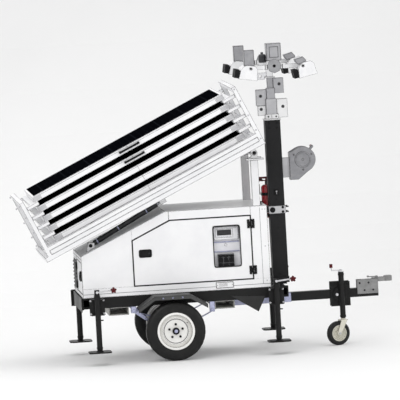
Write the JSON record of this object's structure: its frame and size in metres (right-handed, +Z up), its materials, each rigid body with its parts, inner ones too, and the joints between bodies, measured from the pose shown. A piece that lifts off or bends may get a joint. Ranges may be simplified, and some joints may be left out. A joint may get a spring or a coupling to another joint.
{
  "type": "solar light tower trailer",
  "caption": "Single axle trailer with a raised mast, swivelling floodlights, a tilting stack of sliding solar panels, an equipment cabinet and slide-out screw jacks.",
  "frame": {"origin": "on the ground, under the middle of the trailer's length and width", "axes": "+X forward to the hitch, +Y to the trailer's left, +Z up"},
  "size_m": [3.4326, 1.415, 2.804],
  "materials": {
    "frame_black": "satin powder coat",
    "pocket_white": "white powder coat",
    "galvanised": "galvanised",
    "jack_black": "satin powder coat",
    "crank_grip_red": "zinc plated steel arm with a dark red knob",
    "spring_steel": "oiled spring steel",
    "tyre_rubber": "moulded rubber",
    "rim_white": "gloss enamel",
    "coupler_zinc": "grey zinc paint",
    "cabinet_white": "white powder coat",
    "latch_black": "moulded",
    "engine_iron": "painted casting",
    "solar_panel": "black cells under glass in a white frame",
    "mast_silver": "mill finish",
    "extinguisher_red": "gloss enamel",
    "lamp_white": "white powder coat on cast aluminium"
  },
  "bodies": {
    "chassis": {"side_rails": "frame_black", "cross_members": "frame_black", "fork_pockets": "pocket_white", "tongue_beam": "frame_black", "frame_brackets": "frame_black", "axle_beam": "spring_steel", "leaf_springs": "spring_steel", "fenders": "frame_black", "coupler_body": "coupler_zinc", "cabinet_shell": "cabinet_white", "array_posts": "cabinet_white", "mast_tube": "frame_black", "mast_fittings": "coupler_zinc", "extinguisher": "extinguisher_red", "battery_bank": "latch_black", "generator": "engine_iron"},
    "right_wheel": {"right_tyre": "tyre_rubber", "right_rim": "rim_white"},
    "left_wheel": {"left_tyre": "tyre_rubber", "left_rim": "rim_white"},
    "tongue_jack": {"tongue_jack_tube": "jack_black"},
    "tongue_leg": {"tongue_jack_leg": "galvanised"},
    "tongue_crank": {"tongue_jack_crank": "crank_grip_red"},
    "caster_yoke": {"caster_fork": "galvanised"},
    "caster_roller": {"caster_wheel": "rim_white"},
    "right_door_leaf": {"right_door": "cabinet_white", "control_panel": "latch_black"},
    "right_latch_paddle": {"right_latch": "latch_black"},
    "rear_door_leaf": {"rear_door": "cabinet_white"},
    "coupler_lever": {"coupler_latch": "coupler_zinc"},
    "mast_2": {"mast_stage_2": "cabinet_white"},
    "mast_3": {"mast_stage_3": "mast_silver"},
    "mast_4": {"mast_stage_4": "mast_silver"},
    "mast_5": {"mast_stage_5": "mast_silver", "light_bar": "mast_silver"},
    "winch": {"winch_drum": "coupler_zinc"},
    "array": {"tilt_frame": "cabinet_white", "solar_panel_5": "solar_panel"},
    "panel_1": {"solar_panel_1": "solar_panel"},
    "panel_2": {"solar_panel_2": "solar_panel"},
    "panel_3": {"solar_panel_3": "solar_panel"},
    "panel_4": {"solar_panel_4": "solar_panel"},
    "actuator": {"actuator_body": "latch_black"},
    "actuator_stem": {"actuator_rod": "spring_steel"},
    "right_rear_arm": {"right_rear_outrigger": "jack_black"},
    "right_rear_leg": {"right_rear_jack_leg": "galvanised"},
    "right_rear_crank": {"right_rear_jack_crank": "crank_grip_red"},
    "right_rear_lamp": {"right_rear_floodlight": "lamp_white"},
    "left_rear_arm": {"left_rear_outrigger": "jack_black"},
    "left_rear_leg": {"left_rear_jack_leg": "galvanised"},
    "left_rear_crank": {"left_rear_jack_crank": "crank_grip_red"},
    "left_rear_lamp": {"left_rear_floodlight": "lamp_white"},
    "right_front_arm": {"right_front_outrigger": "jack_black"},
    "right_front_leg": {"right_front_jack_leg": "galvanised"},
    "right_front_crank": {"right_front_jack_crank": "crank_grip_red"},
    "right_front_lamp": {"right_front_floodlight": "lamp_white"},
    "left_front_arm": {"left_front_outrigger": "jack_black"},
    "left_front_leg": {"left_front_jack_leg": "galvanised"},
    "left_front_crank": {"left_front_jack_crank": "crank_grip_red"},
    "left_front_lamp": {"left_front_floodlight": "lamp_white"}
  },
  "joints": [
    {"name": "right_wheel_spin", "type": "hinge", "parent": "chassis", "child": "right_wheel", "pos_m": [-0.35971, -0.59, 0.27], "axis": [0, 1, 0], "continuous": true},
    {"name": "left_wheel_spin", "type": "hinge", "parent": "chassis", "child": "left_wheel", "pos_m": [-0.35971, 0.59, 0.27], "axis": [0, 1, 0], "continuous": true},
    {"name": "right_rear_reach", "type": "slide", "parent": "chassis", "child": "right_rear_arm", "axis": [0, -1, 0], "range_m": [0, 0.6]},
    {"name": "right_rear_wind", "type": "hinge", "parent": "right_rear_arm", "child": "right_rear_crank", "pos_m": [-1.06071, -0.605, 0.668], "axis": [0, 1, 0], "range_deg": [0, 25041.8]},
    {"name": "right_rear_lower", "type": "slide", "parent": "right_rear_arm", "child": "right_rear_leg", "axis": [0, 0, -1], "range_m": [0, 0.35]},
    {"name": "left_rear_reach", "type": "slide", "parent": "chassis", "child": "left_rear_arm", "axis": [0, 1, 0], "range_m": [0, 0.6]},
    {"name": "left_rear_wind", "type": "hinge", "parent": "left_rear_arm", "child": "left_rear_crank", "pos_m": [-1.14071, 0.605, 0.668], "axis": [0, 1, 0], "range_deg": [0, 25041.8]},
    {"name": "left_rear_lower", "type": "slide", "parent": "left_rear_arm", "child": "left_rear_leg", "axis": [0, 0, -1], "range_m": [0, 0.35]},
    {"name": "right_front_reach", "type": "slide", "parent": "chassis", "child": "right_front_arm", "axis": [0, -1, 0], "range_m": [0, 0.6]},
    {"name": "right_front_wind", "type": "hinge", "parent": "right_front_arm", "child": "right_front_crank", "pos_m": [0.58029, -0.605, 0.668], "axis": [0, 1, 0], "range_deg": [0, 25041.8]},
    {"name": "right_front_lower", "type": "slide", "parent": "right_front_arm", "child": "right_front_leg", "axis": [0, 0, -1], "range_m": [0, 0.35]},
    {"name": "left_front_reach", "type": "slide", "parent": "chassis", "child": "left_front_arm", "axis": [0, 1, 0], "range_m": [0, 0.6]},
    {"name": "left_front_wind", "type": "hinge", "parent": "left_front_arm", "child": "left_front_crank", "pos_m": [0.66029, 0.605, 0.668], "axis": [0, 1, 0], "range_deg": [0, 25041.8]},
    {"name": "left_front_lower", "type": "slide", "parent": "left_front_arm", "child": "left_front_leg", "axis": [0, 0, -1], "range_m": [0, 0.35]},
    {"name": "tongue_jack_swing", "type": "hinge", "parent": "chassis", "child": "tongue_jack", "pos_m": [1.22729, -0.1, 0.463], "axis": [0, 1, 0], "range_deg": [-90, 0]},
    {"name": "tongue_jack_wind", "type": "hinge", "parent": "tongue_jack", "child": "tongue_crank", "pos_m": [1.23429, -0.1, 0.671], "axis": [0, 0, 1], "range_deg": [0, 17887]},
    {"name": "tongue_jack_lower", "type": "slide", "parent": "tongue_jack", "child": "tongue_leg", "axis": [0, 0, -1], "range_m": [0, 0.25]},
    {"name": "caster_swivel", "type": "hinge", "parent": "tongue_leg", "child": "caster_yoke", "pos_m": [1.23429, -0.1, 0.243], "axis": [0, 0, 1], "continuous": true},
    {"name": "caster_roll", "type": "hinge", "parent": "caster_yoke", "child": "caster_roller", "pos_m": [1.17979, -0.11984, 0.109], "axis": [-0.342, 0.9397, 0], "continuous": true},
    {"name": "right_door_swing", "type": "hinge", "parent": "chassis", "child": "right_door_leaf", "pos_m": [0.39279, -0.458, 0.98], "axis": [0, 0, 1], "range_deg": [0, 110]},
    {"name": "right_latch_pull", "type": "hinge", "parent": "right_door_leaf", "child": "right_latch_paddle", "pos_m": [-0.62571, -0.463, 0.98], "axis": [0, 0, -1], "range_deg": [0, 35]},
    {"name": "rear_door_swing", "type": "hinge", "parent": "chassis", "child": "rear_door_leaf", "pos_m": [-1.18271, 0.0675, 0.785], "axis": [0, 0, -1], "range_deg": [0, 110]},
    {"name": "coupler_latch_lift", "type": "hinge", "parent": "chassis", "child": "coupler_lever", "pos_m": [1.57629, 0, 0.6], "axis": [0, 1, 0], "range_deg": [0, 60]},
    {"name": "mast_lift_2", "type": "slide", "parent": "chassis", "child": "mast_2", "axis": [0, 0, 1], "range_m": [0, 1.2]},
    {"name": "mast_lift_3", "type": "slide", "parent": "mast_2", "child": "mast_3", "axis": [0, 0, 1], "range_m": [0, 1.2]},
    {"name": "mast_lift_4", "type": "slide", "parent": "mast_3", "child": "mast_4", "axis": [0, 0, 1], "range_m": [0, 1.2]},
    {"name": "mast_lift_5", "type": "slide", "parent": "mast_4", "child": "mast_5", "axis": [0, 0, 1], "range_m": [0, 1.2]},
    {"name": "winch_turn", "type": "hinge", "parent": "chassis", "child": "winch", "pos_m": [0.94529, 0, 1.722], "axis": [0, 1, 0], "range_deg": [0, 1640]},
    {"name": "right_rear_lamp_aim", "type": "hinge", "parent": "mast_5", "child": "right_rear_lamp", "pos_m": [0.46029, -0.449, 2.61], "axis": [0, 1, 0], "range_deg": [0, 45]},
    {"name": "left_rear_lamp_aim", "type": "hinge", "parent": "mast_5", "child": "left_rear_lamp", "pos_m": [0.46029, 0.449, 2.61], "axis": [0, 1, 0], "range_deg": [0, 45]},
    {"name": "right_front_lamp_aim", "type": "hinge", "parent": "mast_5", "child": "right_front_lamp", "pos_m": [0.93729, -0.449, 2.61], "axis": [0, -1, 0], "range_deg": [0, 45]},
    {"name": "left_front_lamp_aim", "type": "hinge", "parent": "mast_5", "child": "left_front_lamp", "pos_m": [0.93729, 0.449, 2.61], "axis": [0, -1, 0], "range_deg": [0, 45]},
    {"name": "array_tilt", "type": "hinge", "parent": "chassis", "child": "array", "pos_m": [0.46029, 0, 1.836], "axis": [0, 1, 0], "range_deg": [0, 25.15]},
    {"name": "panel_2_out", "type": "slide", "parent": "array", "child": "panel_2", "axis": [0, -1, 0], "range_m": [0, 0.95]},
    {"name": "panel_4_out", "type": "slide", "parent": "array", "child": "panel_4", "axis": [0, 1, 0], "range_m": [0, 0.95]},
    {"name": "panel_1_out", "type": "slide", "parent": "panel_2", "child": "panel_1", "axis": [0, -1, 0], "range_m": [0, 0.95]},
    {"name": "panel_3_out", "type": "slide", "parent": "panel_4", "child": "panel_3", "axis": [0, 1, 0], "range_m": [0, 0.95]},
    {"name": "actuator_pivot", "type": "hinge", "parent": "chassis", "child": "actuator", "pos_m": [-1.07171, -0.3, 1.074], "axis": [0, -1, 0], "range_deg": [0, 24.2]},
    {"name": "actuator_extend", "type": "slide", "parent": "actuator", "child": "actuator_stem", "axis": [0.8813, 0, 0.4725], "range_m": [0, 0.1965]}
  ],
  "couplings": [
    {"joint": "right_rear_lower", "follows": "right_rear_wind", "m_per_rad": 0.0008},
    {"joint": "left_rear_lower", "follows": "left_rear_wind", "m_per_rad": 0.0008},
    {"joint": "right_front_lower", "follows": "right_front_wind", "m_per_rad": 0.0008},
    {"joint": "left_front_lower", "follows": "left_front_wind", "m_per_rad": 0.0008},
    {"joint": "tongue_jack_lower", "follows": "tongue_jack_wind", "m_per_rad": 0.0008},
    {"joint": "mast_lift_3", "follows": "mast_lift_2", "ratio": 1},
    {"joint": "mast_lift_4", "follows": "mast_lift_2", "ratio": 1},
    {"joint": "mast_lift_5", "follows": "mast_lift_2", "ratio": 1},
    {"joint": "winch_turn", "follows": "mast_lift_2", "rad_per_m": 23.8},
    {"joint": "actuator_pivot", "follows": "array_tilt", "ratio": 0.9515},
    {"joint": "actuator_extend", "follows": "array_tilt", "m_per_rad": 0.4427}
  ]
}
